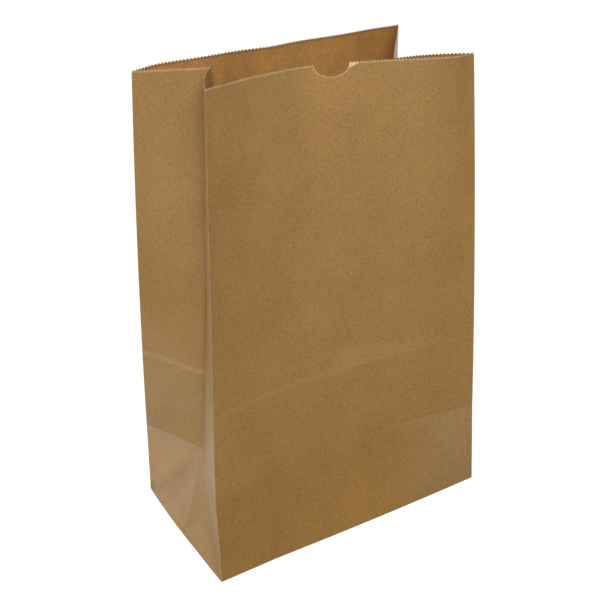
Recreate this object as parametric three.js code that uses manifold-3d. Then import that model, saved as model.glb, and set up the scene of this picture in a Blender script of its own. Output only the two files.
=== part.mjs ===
// A self-opening grocery bag folded from one sheet of brown kraft paper, standing open.
// Millimetres, +Z up, the thumb notch in the front panel on the -Y side.
// The origin is the middle of the base, on the surface that the bag stands on.

import * as THREE from "three";
import { mergeGeometries, mergeVertices } from "three/addons/utils/BufferGeometryUtils.js";
import Module from "manifold-3d";

// The sheet and its folds
const BAG_WIDTH = 305;
const BAG_DEPTH = 164;
const BAG_HEIGHT = 450;
const WAIST = 85.5;
const PAPER = 0.2;
const SEAM_LAP = 25;
const SEAM_INSET = 60;
const SEAM_MARGIN = 1;
const FLAP_OVERLAP = 24;
const FLAP_GAP = 0.6;
const FLAP_INSET = 1.5;

// The cut edge of the mouth
const TOOTH_PITCH = 3.6;
const TOOTH_DEPTH = 1.8;
const NOTCH_WIDTH = 35.5;
const NOTCH_DEPTH = 12.2;
const NOTCH_OFFSET = -6.3;

// How far each fold has moved across, back and up from straight above its foot, at the waist and the mouth
const WAIST_SHIFT = {
  frontLeft: [0, 6, 0],
  frontRight: [0, 9, 0],
  backRight: [0, -5, 0],
  backLeft: [-1, -6, 0],
  rightCentre: [-31, 0, 0],
  leftCentre: [27, 7, 5],
};
const MOUTH_SHIFT = {
  frontLeft: [36.5, 66, 0],
  frontRight: [27.5, 80, -2.5],
  backRight: [0.5, 2, 6],
  backLeft: [2.5, -29, 0],
  rightCentre: [-52, 20.5, -4.5],
  leftCentre: [79, 57, 0],
};

// How far across a fold bows between the waist and the mouth
const FOLD_BOW = { frontRight: 2.2, backLeft: -3 };

// How far a panel is hollowed a third and two thirds of the way along, at the waist, upper crease and mouth
const FRONT_HOLLOW = { waist: [23, 23], crease: [11, 11], mouth: [60, 16] };
const BACK_HOLLOW = { waist: [0, 0], crease: [0, 0], mouth: [2, -18] };
const RIGHT_FRONT_HOLLOW = { waist: [0, 0], crease: [0, 0], mouth: [-9, -9] };
const LEFT_FRONT_HOLLOW = { waist: [0, 0], crease: [0, 0], mouth: [-5, -6] };
const FLAT = { waist: [0, 0], crease: [0, 0], mouth: [0, 0] };

const HALF_GUSSET = BAG_DEPTH / 2;
const CREASE = BAG_DEPTH;
const BASE_LEVEL = 1.5 * PAPER;
const TOOTH_BAND = 4 * TOOTH_DEPTH;
const GLUE_BITE = PAPER / 2;

const GUSSET_COLUMNS = 4;
const FOOT_ROWS = GUSSET_COLUMNS;
const PANEL_COLUMNS = 16;
const NOTCH_SEGMENTS = 40;

const wasm = await Module();
wasm.setup();

// A fold that runs up the bag, bent at the waist crease, its length along the paper kept.
class FoldLine {
  constructor(name, footX, footY) {
    this.foot = new THREE.Vector3(footX, footY, BASE_LEVEL);
    this.waist = this.above(this.foot, this.foot, WAIST_SHIFT[name], WAIST);
    this.mouth = this.above(this.foot, this.waist, MOUTH_SHIFT[name], BAG_HEIGHT - WAIST);
    this.bow = new THREE.Vector3(FOLD_BOW[name] ?? 0, 0, 0);
  }

  // The point shifted from the foot, one length of paper from the point below it before it is moved up.
  above(foot, below, shift, length) {
    const point = new THREE.Vector3(foot.x + shift[0], foot.y + shift[1], below.z);
    const sideways = point.distanceTo(below);
    point.z += Math.sqrt(length * length - sideways * sideways) + shift[2];
    return point;
  }

  at(height) {
    if (height <= WAIST) return this.foot.clone().lerp(this.waist, height / WAIST);
    const up = (height - WAIST) / (BAG_HEIGHT - WAIST);
    return this.waist.clone().lerp(this.mouth, up).addScaledVector(this.bow, 4 * up * (1 - up));
  }
}

const HALF_WIDTH = BAG_WIDTH / 2;
const frontLeft = new FoldLine("frontLeft", -HALF_WIDTH, -HALF_GUSSET);
const frontRight = new FoldLine("frontRight", HALF_WIDTH, -HALF_GUSSET);
const backRight = new FoldLine("backRight", HALF_WIDTH, HALF_GUSSET);
const backLeft = new FoldLine("backLeft", -HALF_WIDTH, HALF_GUSSET);
const rightCentre = new FoldLine("rightCentre", HALF_WIDTH, 0);
const leftCentre = new FoldLine("leftCentre", -HALF_WIDTH, 0);

// Evenly spaced stations over one stretch after another.
function stations(stops, counts) {
  const list = [stops[0]];
  counts.forEach((count, i) => {
    for (let k = 1; k <= count; k++) list.push(THREE.MathUtils.lerp(stops[i], stops[i + 1], k / count));
  });
  return list;
}

// The stations between two ends, with the ends themselves.
function between(list, start, end) {
  return [start, ...list.filter((at) => at > start && at < end), end];
}

const PANEL_STATIONS = stations([0, BAG_WIDTH], [PANEL_COLUMNS]);
const GUSSET_STATIONS = stations([0, HALF_GUSSET], [GUSSET_COLUMNS]);
const ROWS = stations([0, WAIST, CREASE, BAG_HEIGHT - TOOTH_BAND], [FOOT_ROWS, 3, 8]);

const INTO_FRONT = new THREE.Vector3(0, 1, 0);
const INTO_BACK = new THREE.Vector3(0, -1, 0);
const INTO_LEFT = new THREE.Vector3(1, 0, 0);

// The panels in turn round the bag, anticlockwise from above.
const front = {
  from: frontLeft,
  to: frontRight,
  width: BAG_WIDTH,
  columns: PANEL_STATIONS,
  hollow: FRONT_HOLLOW,
  inward: INTO_FRONT,
};
const rightFront = gussetHalf(frontRight, rightCentre, RIGHT_FRONT_HOLLOW, INTO_BACK);
const rightBack = gussetHalf(rightCentre, backRight, FLAT, INTO_FRONT);
const back = {
  from: backRight,
  to: backLeft,
  width: BAG_WIDTH,
  columns: PANEL_STATIONS,
  hollow: BACK_HOLLOW,
  inward: INTO_BACK,
};
const leftBack = gussetHalf(backLeft, leftCentre, FLAT, INTO_FRONT);
const leftFront = gussetHalf(leftCentre, frontLeft, LEFT_FRONT_HOLLOW, INTO_LEFT);
const PANELS = [front, rightFront, rightBack, back, leftBack, leftFront];

function gussetHalf(from, to, hollow, inward) {
  const centreFirst = from === rightCentre || from === leftCentre;
  const columns = GUSSET_STATIONS;
  return { from, to, width: HALF_GUSSET, columns, hollow, inward, gusset: true, centreFirst };
}

// The hollow of a panel at a share of the way along it and a height up the paper.
function hollowAt(hollow, share, height) {
  const levels = [0, WAIST, CREASE, BAG_HEIGHT];
  const pairs = [[0, 0], hollow.waist, hollow.crease, hollow.mouth];
  const above = Math.max(1, levels.findIndex((level) => height <= level));
  const up = (height - levels[above - 1]) / (levels[above] - levels[above - 1]);
  const near = THREE.MathUtils.lerp(pairs[above - 1][0], pairs[above][0], up);
  const far = THREE.MathUtils.lerp(pairs[above - 1][1], pairs[above][1], up);
  return 3 * share * (1 - share) * (near * (1 - share) + far * share);
}

// The foot of a gusset: flat facets either side of the diagonal from the base corner to the centre fold.
function gussetFoot(corner, centre, out, up) {
  const point = corner.foot.clone();
  const across = out <= up ? [corner.waist, centre.waist] : [corner.foot, centre.foot];
  const rise = out <= up ? corner : centre;
  point.addScaledVector(across[1].clone().sub(across[0]), out);
  return point.addScaledVector(rise.waist.clone().sub(rise.foot), up);
}

// Where a point of a panel lies once the sheet is folded.
function place(panel, along, height) {
  const share = along / panel.width;
  if (panel.gusset && height < WAIST) {
    const up = height / WAIST;
    if (panel.centreFirst) return gussetFoot(panel.to, panel.from, 1 - share, up);
    return gussetFoot(panel.from, panel.to, share, up);
  }
  const point = panel.from.at(height).lerp(panel.to.at(height), share);
  return point.addScaledVector(panel.inward, hollowAt(panel.hollow, share, height));
}

function plainGeometry(geometry) {
  geometry.deleteAttribute("normal");
  geometry.deleteAttribute("uv");
  return geometry;
}

function turnedOver(geometry) {
  const order = geometry.getIndex();
  for (let i = 0; i < order.count; i += 3) {
    const second = order.getX(i + 1);
    order.setX(i + 1, order.getX(i + 2));
    order.setX(i + 2, second);
  }
  return geometry;
}

// Moves every vertex of a flat geometry to the place that its two coordinates stand for.
function moved(geometry, placeOf) {
  const position = geometry.getAttribute("position");
  for (let i = 0; i < position.count; i++) {
    const point = placeOf(position.getX(i), position.getY(i));
    position.setXYZ(i, point.x, point.y, point.z);
  }
  return plainGeometry(geometry);
}

// A sheet of cells whose corners are placed by column and row number.
function cellSheet(columns, rows, placeOf) {
  const flat = new THREE.PlaneGeometry(columns, rows, columns, rows).translate(columns / 2, rows / 2, 0);
  return moved(flat, (x, y) => placeOf(Math.round(x), Math.round(y)));
}

// A panel below its toothed band, its foot one straight edge. Cell diagonals run with the gusset's own.
function panelSheet(panel) {
  const count = panel.columns.length - 1;
  const footColumn = (column) => (2 * column < count ? 0 : count);
  const placeOf = (column, row) => place(panel, panel.columns[row ? column : footColumn(column)], ROWS[row]);
  if (!panel.centreFirst) return cellSheet(count, ROWS.length - 1, placeOf);
  return turnedOver(cellSheet(count, ROWS.length - 1, (column, row) => placeOf(count - column, row)));
}

// The toothed band along the mouth, one outline for each stretch between stations.
function toothedBand(panel) {
  const pitch = panel.width / Math.round(panel.width / TOOTH_PITCH);
  const edge = (along) => BAG_HEIGHT - TOOTH_DEPTH * Math.abs(1 - 2 * ((along / pitch) % 1));
  const low = ROWS[ROWS.length - 1];
  const bands = panel.columns.slice(1).map((end, i) => {
    const start = panel.columns[i];
    const shape = new THREE.Shape().moveTo(start, low).lineTo(end, low).lineTo(end, edge(end));
    for (let k = Math.ceil((2 * end) / pitch - 1e-6) - 1; k * pitch > 2 * start + 1e-6; k--) {
      shape.lineTo((k * pitch) / 2, k % 2 ? BAG_HEIGHT : BAG_HEIGHT - TOOTH_DEPTH);
    }
    shape.lineTo(start, edge(start));
    return moved(new THREE.ShapeGeometry(shape), (along, height) => place(panel, along, height));
  });
  return mergeGeometries(bands);
}

// The base, between the feet of the panels.
function baseSheet() {
  const sides = [-HALF_WIDTH, HALF_WIDTH];
  const foot = (column, row) => new THREE.Vector3(sides[column], HALF_GUSSET * (row - 1), BASE_LEVEL);
  return turnedOver(cellSheet(1, 2, foot));
}

// Sheets joined along their shared edges, without the cells that their straight feet have closed.
function joined(sheets) {
  const whole = mergeVertices(mergeGeometries(sheets), 1e-3);
  const order = whole.getIndex();
  const kept = [];
  for (let i = 0; i < order.count; i += 3) {
    const face = [order.getX(i), order.getX(i + 1), order.getX(i + 2)];
    if (new Set(face).size === 3) kept.push(...face);
  }
  return whole.setIndex(kept);
}

// For each vertex, the way out of the sheet, as long as it takes to move every face there by one.
function wayOut(surface) {
  const position = surface.getAttribute("position");
  const order = surface.getIndex();
  const faces = Array.from({ length: position.count }, () => []);
  const corner = (i) => new THREE.Vector3().fromBufferAttribute(position, order.getX(i));
  for (let i = 0; i < order.count; i += 3) {
    const face = new THREE.Triangle(corner(i), corner(i + 1), corner(i + 2));
    const normal = face.getNormal(new THREE.Vector3());
    for (let k = 0; k < 3; k++) {
      const to = corner(i + ((k + 1) % 3)).sub(corner(i + k));
      const back = corner(i + ((k + 2) % 3)).sub(corner(i + k));
      faces[order.getX(i + k)].push({ normal, angle: to.angleTo(back) });
    }
  }
  return faces.map((around) => {
    const mean = new THREE.Vector3();
    around.forEach(({ normal, angle }) => mean.addScaledVector(normal, angle));
    mean.normalize();
    const least = Math.min(...around.map(({ normal }) => normal.dot(mean)));
    return mean.divideScalar(Math.max(least, 0.25));
  });
}

// A sheet given thickness, between two distances out from its middle surface, its open edges closed.
function thickened(surface, inner, outer) {
  const position = surface.getAttribute("position");
  const order = surface.getIndex();
  const count = position.count;
  const out = wayOut(surface);
  const points = [];
  for (const distance of [outer, inner]) {
    for (let i = 0; i < count; i++) {
      const point = new THREE.Vector3().fromBufferAttribute(position, i).addScaledVector(out[i], distance);
      points.push(point.x, point.y, point.z);
    }
  }
  const edges = new Set();
  const triangles = [];
  for (let i = 0; i < order.count; i += 3) {
    const [a, b, c] = [order.getX(i), order.getX(i + 1), order.getX(i + 2)];
    triangles.push(a, b, c, count + a, count + c, count + b);
    [[a, b], [b, c], [c, a]].forEach((pair) => edges.add(pair.join()));
  }
  for (const edge of edges) {
    const [a, b] = edge.split(",").map(Number);
    if (!edges.has([b, a].join())) triangles.push(b, a, count + a, b, count + a, count + b);
  }
  const solid = new THREE.BufferGeometry();
  solid.setAttribute("position", new THREE.Float32BufferAttribute(points, 3));
  return solid.setIndex(triangles);
}

function toSolid(geometry) {
  const merged = mergeVertices(plainGeometry(geometry), 1e-4);
  const vertProperties = new Float32Array(merged.getAttribute("position").array);
  const triVerts = new Uint32Array(merged.getIndex().array);
  return new wasm.Manifold(new wasm.Mesh({ numProp: 3, vertProperties, triVerts }));
}

function toGeometry(solid) {
  const made = solid.getMesh();
  const geometry = new THREE.BufferGeometry();
  geometry.setAttribute("position", new THREE.Float32BufferAttribute(made.vertProperties, 3));
  geometry.setIndex(new THREE.BufferAttribute(made.triVerts, 1));
  geometry.computeVertexNormals();
  return geometry;
}

// A glued flap of the base, one sheet thick, between the base and the surface it stands on.
function flap(corners) {
  const shape = new THREE.Shape(corners.map(([x, y]) => new THREE.Vector2(x, y)));
  return toSolid(new THREE.ExtrudeGeometry(shape, { depth: PAPER + GLUE_BITE, bevelEnabled: false }));
}

// The oval thumb notch, cut square through the front panel.
function notchCutter() {
  const reach = NOTCH_WIDTH / 2;
  const middle = BAG_WIDTH / 2 + NOTCH_OFFSET;
  const edge = place(front, middle, BAG_HEIGHT);
  const start = place(front, middle - reach, BAG_HEIGHT);
  const along = place(front, middle + reach, BAG_HEIGHT).sub(start).normalize();
  const up = edge.clone().sub(place(front, middle, BAG_HEIGHT - NOTCH_DEPTH)).normalize();
  const through = along.clone().cross(up).normalize();
  const disc = new THREE.CylinderGeometry(1, 1, reach, NOTCH_SEGMENTS).scale(reach, 1, NOTCH_DEPTH);
  const turn = new THREE.Matrix4().makeBasis(along, through, along.clone().cross(through));
  disc.applyMatrix4(turn.setPosition(edge));
  return toSolid(disc);
}

const walls = PANELS.flatMap((panel) => [panelSheet(panel), toothedBand(panel)]);
const folded = toSolid(thickened(joined([...walls, baseSheet()]), -PAPER / 2, PAPER / 2));

// The lap of the sheet's two ends, glued down the back.
const seamEnd = BAG_WIDTH - SEAM_INSET;
const lapColumns = between(PANEL_STATIONS, seamEnd - SEAM_LAP, seamEnd);
const lapRows = between(ROWS, SEAM_MARGIN, BAG_HEIGHT - TOOTH_DEPTH - SEAM_MARGIN);
const lapPlace = (column, row) => place(back, lapColumns[column], lapRows[row]);
const lapSheet = joined([cellSheet(lapColumns.length - 1, lapRows.length - 1, lapPlace)]);
const lap = toSolid(thickened(lapSheet, PAPER / 2 - GLUE_BITE, 1.5 * PAPER));

// The back flap lies over the free edge of the front one, past the middle of the base.
const flapLength = HALF_WIDTH - FLAP_INSET;
const flapHinge = HALF_GUSSET - FLAP_INSET;
const flapEdge = -FLAP_OVERLAP / 2;
const flapEnd = HALF_WIDTH - HALF_GUSSET + flapEdge;
const meetY = -FLAP_GAP * Math.SQRT1_2;
const meetX = HALF_WIDTH - HALF_GUSSET - meetY;
const backFlap = flap([
  [flapLength, flapHinge],
  [-flapLength, flapHinge],
  [-flapEnd, flapEdge],
  [flapEnd, flapEdge],
]);
const frontFlap = flap([
  [-flapLength, -flapHinge],
  [flapLength, -flapHinge],
  [meetX, meetY],
  [flapEnd + FLAP_GAP, flapEdge - FLAP_GAP],
  [-flapEnd - FLAP_GAP, flapEdge - FLAP_GAP],
  [-meetX, meetY],
]);

const bagSolid = folded.add(lap).add(backFlap).add(frontFlap).subtract(notchCutter());

const kraft = new THREE.MeshStandardMaterial({ color: 0x936e38, roughness: 0.9, metalness: 0 });
const bag = new THREE.Mesh(toGeometry(bagSolid), kraft);
bag.name = "bag";

const part = new THREE.Group();
part.add(bag);

export default part;
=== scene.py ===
"""Dresses the paper grocery bag: its folded kraft sheet, the paper's finish, the studio and the camera."""

import logging
import math
from dataclasses import dataclass, field
from enum import Enum
from typing import Any, Callable, Iterable, Optional, Union

import bmesh
import bpy
from mathutils import Matrix, Vector, noise


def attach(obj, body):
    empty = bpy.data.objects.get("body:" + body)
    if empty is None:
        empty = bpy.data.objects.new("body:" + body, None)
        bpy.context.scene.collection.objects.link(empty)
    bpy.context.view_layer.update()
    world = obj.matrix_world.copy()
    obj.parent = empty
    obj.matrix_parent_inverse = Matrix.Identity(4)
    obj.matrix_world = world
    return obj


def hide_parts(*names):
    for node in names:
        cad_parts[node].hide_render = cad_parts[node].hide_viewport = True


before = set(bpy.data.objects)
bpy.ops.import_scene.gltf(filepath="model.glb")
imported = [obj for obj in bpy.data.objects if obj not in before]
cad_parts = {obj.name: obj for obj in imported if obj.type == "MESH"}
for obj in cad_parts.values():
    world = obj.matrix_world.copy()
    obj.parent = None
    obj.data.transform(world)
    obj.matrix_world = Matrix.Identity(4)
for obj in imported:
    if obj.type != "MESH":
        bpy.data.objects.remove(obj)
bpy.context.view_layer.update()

LOG = logging.getLogger("grocery_bag")

Pair = tuple[float, float]
Triple = tuple[float, float, float]
Face = bmesh.types.BMFace
Vert = bmesh.types.BMVert

# Points of the sheet that lie closer than this are one point
WELD = 1e-5

# A cut goes through the points that lie closer to it than this
CUT = 1e-7


class Fold(Enum):
    """The folds that run up the bag."""

    FRONT_LEFT = "front_left"
    FRONT_RIGHT = "front_right"
    BACK_RIGHT = "back_right"
    BACK_LEFT = "back_left"
    RIGHT_CENTRE = "right_centre"
    LEFT_CENTRE = "left_centre"


class PanelKind(Enum):
    """How the foot of a panel is folded."""

    PLAIN = "plain"
    CORNER_FIRST = "gusset half from corner to centre"
    CENTRE_FIRST = "gusset half from centre to corner"


class Side(Enum):
    """The panels in their order round the sheet."""

    FRONT = 0
    RIGHT_FRONT = 1
    RIGHT_BACK = 2
    BACK = 3
    LEFT_BACK = 4
    LEFT_FRONT = 5


@dataclass(frozen=True)
class FoldShape:
    """How a fold stands.

    Args:
        foot: its point on the base, as shares of half the width and half the depth.
        waist: how far it is off its foot at the waist crease, and how far the crease is moved up there.
        mouth: the same at the mouth.
        bow: how far it bends sideways between the two.
    """

    foot: Pair
    waist: Triple
    mouth: Triple
    bow: float = 0.0


@dataclass(frozen=True)
class FoldLine:
    """A fold from the base, bent at the waist crease, to the mouth.

    Args:
        foot: its point on the base.
        waist: its point on the waist crease.
        mouth: its point at the mouth.
        bow: how far it bends out of straight between the waist and the mouth.
    """

    foot: Vector
    waist: Vector
    mouth: Vector
    bow: Vector

    def at(self, height: float, waist: float, top: float) -> Vector:
        """The fold's point at a height along the paper.

        Args:
            height: distance up the paper from the base.
            waist: height of the waist crease.
            top: height of the mouth.

        Returns:
            The point in space.
        """
        if height <= waist:
            return self.foot.lerp(self.waist, height / waist)
        up = (height - waist) / (top - waist)
        return self.waist.lerp(self.mouth, up) + self.bow * (4 * up * (1 - up))


@dataclass(frozen=True)
class Wave:
    """A wave of a panel's edge at the mouth.

    Args:
        middle: share of the way along the panel.
        reach: share of the panel that it takes to either side.
        depth: how far it goes, inwards positive.
    """

    middle: float
    reach: float
    depth: float

    def at(self, share: float) -> float:
        """The depth of the wave at a share of the way along the panel."""
        return self.depth * math.exp(-(((share - self.middle) / self.reach) ** 2))


@dataclass(frozen=True)
class Hollow:
    """How far a panel is pushed in a third and two thirds of the way along it, at three heights.

    Args:
        waist: the two depths at the waist crease.
        crease: the two depths at the upper crease.
        mouth: the two depths at the mouth.
        waves: the waves of its edge at the mouth.
        spring: how fast the waves come in from the folds at the panel's ends.
        climb: the power of the height by which the waves grow.
    """

    waist: Pair = (0.0, 0.0)
    crease: Pair = (0.0, 0.0)
    mouth: Pair = (0.0, 0.0)
    waves: tuple[Wave, ...] = ()
    spring: float = 16.0
    climb: int = 3

    def at(self, share: float, height: float, levels: Triple) -> float:
        """The depth of the hollow.

        Args:
            share: share of the way along the panel.
            height: distance up the paper.
            levels: heights of the waist crease, the upper crease and the mouth.

        Returns:
            The depth, inwards positive.
        """
        stops = [0.0, *levels]
        pairs = [(0.0, 0.0), self.waist, self.crease, self.mouth]
        above = next((i for i in (1, 2, 3) if height <= stops[i]), 3)
        up = (height - stops[above - 1]) / (stops[above] - stops[above - 1])
        near, far = (low + (high - low) * up for low, high in zip(pairs[above - 1], pairs[above]))
        broad = 3 * share * (1 - share) * (near * (1 - share) + far * share)
        rise = max(0.0, (height - levels[1]) / (levels[2] - levels[1]))
        fade = min(1.0, self.spring * share * (1 - share)) * rise**self.climb
        return broad + fade * sum(wave.at(share) for wave in self.waves)


@dataclass(frozen=True)
class Swell:
    """An unevenness that handling has left in the paper.

    Args:
        along: its length along the sheet.
        up: its length up the sheet.
        layer: the layer of the noise that it is cut from.
        size: how far it stands out or in.
    """

    along: float
    up: float
    layer: float
    size: float

    def at(self, around: float, height: float) -> float:
        """How far the paper stands out at a place of the sheet."""
        return self.size * noise.noise(Vector((around / self.along, height / self.up, self.layer)))


@dataclass(frozen=True)
class Panel:
    """One panel of the flat sheet between two folds.

    Args:
        start: the fold that it starts from.
        end: the fold that it ends at.
        offset: distance round the sheet to its start.
        width: its width.
        teeth: how many teeth its edge has.
        kind: how its foot is folded.
        hollow: how far it is pushed in.
        inward: the direction in which it is pushed in.
    """

    start: Fold
    end: Fold
    offset: float
    width: float
    teeth: int
    kind: PanelKind
    hollow: Hollow
    inward: Vector


@dataclass
class BagSheet:
    """The one sheet of kraft paper that the bag is folded from, in metres."""

    width: float = 0.305
    depth: float = 0.164
    height: float = 0.450
    waist: float = 0.0855
    paper: float = 0.0002
    uv_name: str = "sheet"

    # The cut edge of the mouth: its teeth, the thumb notch and the bent corner beside the notch
    tooth_pitch: float = 0.0036
    tooth_depth: float = 0.0015
    tooth_room: float = 4.0
    rim_room: float = 1.5
    notch_width: float = 0.0380
    notch_depth: float = 0.0122
    notch_offset: float = -0.0018
    notch_steps: int = 14
    notch_draw: float = 3.0
    ear_out: float = 0.0162
    ear_tooth: int = 50
    ear_turn: float = -14.0
    ear_reach: float = 0.02
    ear_slack: float = 0.001

    # The glued lap down the back and the flaps under the base
    seam_lap: float = 0.025
    seam_inset: float = 0.060
    seam_margin: float = 0.001
    seam_cells: int = 7
    seam_shift: Pair = (-1.0, 0.0)
    glue: float = 0.00002
    flap_overlap: float = 0.024
    flap_gap: float = 0.0006
    flap_inset: float = 0.0015
    base_shift: Pair = (2.0, -1.0)

    # The mesh, and how far the inner face is set apart in its UV
    rows: tuple[int, int, int] = (18, 17, 60)
    crisp_angle: float = 14.0
    probe: float = 0.002
    inner_shift: float = 4.0
    inner_margin: float = 0.4

    # How the paper has eased at its folds, its base and between them
    fold_fade: float = 0.014
    fold_ease: float = 1.10
    ease_height: float = 0.06
    side_bow: float = 0.0026
    side_start: float = 0.8
    front_bow: float = 0.0022
    front_start: float = 0.7
    corner_pull: Pair = (-0.0015, -0.0028)
    corner_start: Pair = (0.6, 0.4)
    swells: tuple[Swell, ...] = (Swell(0.11, 0.15, 3.1, 0.0012), Swell(0.04, 0.055, 8.7, 0.0004))

    # The folds, and how the panels between them are pushed in or out
    folds: dict[Fold, FoldShape] = field(
        default_factory=lambda: {
            Fold.FRONT_LEFT: FoldShape((-1.0, -1.0), (0.0, 0.006, 0.0), (0.0365, 0.066, 0.0)),
            Fold.FRONT_RIGHT: FoldShape((1.0, -1.0), (0.0, 0.009, 0.0), (0.0275, 0.080, -0.0025), 0.0022),
            Fold.BACK_RIGHT: FoldShape((1.0, 1.0), (0.0, -0.005, 0.0), (0.0005, 0.002, 0.006)),
            Fold.BACK_LEFT: FoldShape((-1.0, 1.0), (-0.001, -0.006, 0.0), (0.0025, -0.029, 0.0), -0.0018),
            Fold.RIGHT_CENTRE: FoldShape((1.0, 0.0), (-0.031, 0.0, 0.0), (-0.052, 0.0205, -0.0045)),
            Fold.LEFT_CENTRE: FoldShape((-1.0, 0.0), (0.027, 0.007, 0.005), (0.079, 0.057, 0.0)),
        }
    )
    front_hollow: Hollow = Hollow(
        waist=(0.014, 0.024),
        crease=(0.022, 0.022),
        mouth=(0.060, 0.016),
        waves=(
            Wave(0.10, 0.10, -0.0035),
            Wave(0.24, 0.10, -0.0022),
            Wave(0.42, 0.10, 0.003),
            Wave(0.87, 0.13, -0.0070),
        ),
    )
    back_hollow: Hollow = Hollow(
        mouth=(0.002, -0.018),
        waves=(Wave(0.90, 0.10, -0.0055), Wave(0.52, 0.08, 0.005), Wave(0.12, 0.08, -0.0025)),
    )
    right_front_hollow: Hollow = Hollow(mouth=(-0.009, -0.009))
    left_front_hollow: Hollow = Hollow(mouth=(-0.005, -0.006))

    lines: dict[Fold, FoldLine] = field(default_factory=dict)
    panels: list[Panel] = field(default_factory=list)
    bm: bmesh.types.BMesh = field(default_factory=bmesh.new)

    def __post_init__(self) -> None:
        """Works out the fold lines and the panels from the sizes."""
        self.lines.update({fold: self.fold_line(shape) for fold, shape in self.folds.items()})
        into_front, into_back = Vector((0.0, 1.0, 0.0)), Vector((0.0, -1.0, 0.0))
        into_left = Vector((1.0, 0.0, 0.0))
        plain, corner, centre = PanelKind.PLAIN, PanelKind.CORNER_FIRST, PanelKind.CENTRE_FIRST
        order = [
            (Fold.FRONT_LEFT, Fold.FRONT_RIGHT, plain, self.front_hollow, into_front),
            (Fold.FRONT_RIGHT, Fold.RIGHT_CENTRE, corner, self.right_front_hollow, into_back),
            (Fold.RIGHT_CENTRE, Fold.BACK_RIGHT, centre, Hollow(), into_front),
            (Fold.BACK_RIGHT, Fold.BACK_LEFT, plain, self.back_hollow, into_back),
            (Fold.BACK_LEFT, Fold.LEFT_CENTRE, corner, Hollow(), into_front),
            (Fold.LEFT_CENTRE, Fold.FRONT_LEFT, centre, self.left_front_hollow, into_left),
        ]
        offset = 0.0
        for start, end, kind, hollow, inward in order:
            width = self.width if kind is PanelKind.PLAIN else self.depth / 2
            teeth = round(width / self.tooth_pitch)
            self.panels.append(Panel(start, end, offset, width, teeth, kind, hollow, inward))
            offset += width

    @property
    def crease(self) -> float:
        """Height of the upper crease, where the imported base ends."""
        return self.depth

    @property
    def base_level(self) -> float:
        """Height of the middle of the base sheet over the ground."""
        return 1.5 * self.paper

    @property
    def girth(self) -> float:
        """Length of the sheet round the bag."""
        return 2 * (self.width + self.depth)

    @property
    def inner_from(self) -> float:
        """Distance round the sheet, as its UV has it, past which a face is an inner one."""
        return self.inner_shift - self.inner_margin

    @property
    def levels(self) -> list[float]:
        """The heights where one stretch of rows ends and the next begins."""
        return [0.0, self.waist, self.crease, self.height - self.tooth_room * self.tooth_depth]

    @property
    def notch_middle(self) -> float:
        """Distance along the front panel to the middle of the thumb notch."""
        return self.width / 2 + self.notch_offset

    @property
    def ear(self) -> tuple[Pair, Pair]:
        """The two ends of the fold of the bent corner, from the notch to the foot of a tooth."""
        front = self.panel(Side.FRONT)
        start = (self.notch_middle + self.ear_out, self.height - self.notch_sunk(self.ear_out))
        return start, (self.ear_tooth * front.width / front.teeth, self.height - self.tooth_depth)

    def panel(self, side: Side) -> Panel:
        """The panel on a side."""
        return self.panels[side.value]

    def panel_at(self, around: float) -> Panel:
        """The panel that a distance round the sheet falls on."""
        return next((p for p in self.panels if around <= p.offset + p.width + WELD), self.panels[-1])

    def notch_sunk(self, out: float) -> float:
        """Depth of the oval thumb notch at a distance out from its middle."""
        return self.notch_depth * math.sqrt(max(0.0, 1.0 - (2 * out / self.notch_width) ** 2))

    def fold_line(self, shape: FoldShape) -> FoldLine:
        """A fold line whose length along the paper is kept.

        Args:
            shape: how the fold stands.

        Returns:
            The fold line.
        """
        foot = Vector((shape.foot[0] * self.width / 2, shape.foot[1] * self.depth / 2, self.base_level))
        points = [foot]
        for shift, length in ((shape.waist, self.waist), (shape.mouth, self.height - self.waist)):
            point = Vector((foot.x + shift[0], foot.y + shift[1], points[-1].z))
            sideways = (point - points[-1]).length
            points.append(point + Vector((0.0, 0.0, math.sqrt(length**2 - sideways**2) + shift[2])))
        return FoldLine(*points, Vector((shape.bow, 0.0, 0.0)))

    def gusset_foot(self, corner: FoldLine, centre: FoldLine, out: float, up: float) -> Vector:
        """A point of a gusset's foot, flat on either side of its eased diagonal fold.

        Args:
            corner: the fold at the corner of the base.
            centre: the fold up the middle of the gusset.
            out: share of the way from corner to centre.
            up: share of the way up to the waist crease.

        Returns:
            The point in space.
        """
        over = corner.foot + (centre.waist - corner.waist) * out + (corner.waist - corner.foot) * up
        under = corner.foot + (centre.foot - corner.foot) * out + (centre.waist - centre.foot) * up
        reach = self.fold_ease * min(out + up, 2 - out - up) + WELD
        share = min(1.0, max(0.0, 0.5 + 0.5 * (up - out) / reach))
        return under.lerp(over, share * share * (3 - 2 * share))

    def place(self, panel: Panel, along: float, height: float) -> Vector:
        """Where a point of the flat sheet lies once it is folded.

        Args:
            panel, along, height: the point's panel, and how far along it and up the paper it lies.

        Returns:
            The point in space.
        """
        share = along / panel.width
        start, end = self.lines[panel.start], self.lines[panel.end]
        if panel.kind is not PanelKind.PLAIN and height < self.waist:
            up = height / self.waist
            if panel.kind is PanelKind.CENTRE_FIRST:
                return self.gusset_foot(end, start, 1 - share, up)
            return self.gusset_foot(start, end, share, up)
        low = start.at(height, self.waist, self.height)
        point = low.lerp(end.at(height, self.waist, self.height), share)
        levels = (self.waist, self.crease, self.height)
        return point + panel.inward * panel.hollow.at(share, height, levels)

    def way_out(self, panel: Panel, along: float, height: float) -> Vector:
        """The direction out of the folded sheet.

        Args:
            panel, along, height: the point's panel, and how far along it and up the paper it lies.

        Returns:
            The direction, of length one.
        """
        step = self.probe
        left = min(max(along, step), panel.width - step)
        low = min(max(height, step), self.height - step)
        across = self.place(panel, left + step, low) - self.place(panel, left - step, low)
        up = self.place(panel, left, low + step) - self.place(panel, left, low - step)
        return across.cross(up).normalized()

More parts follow.
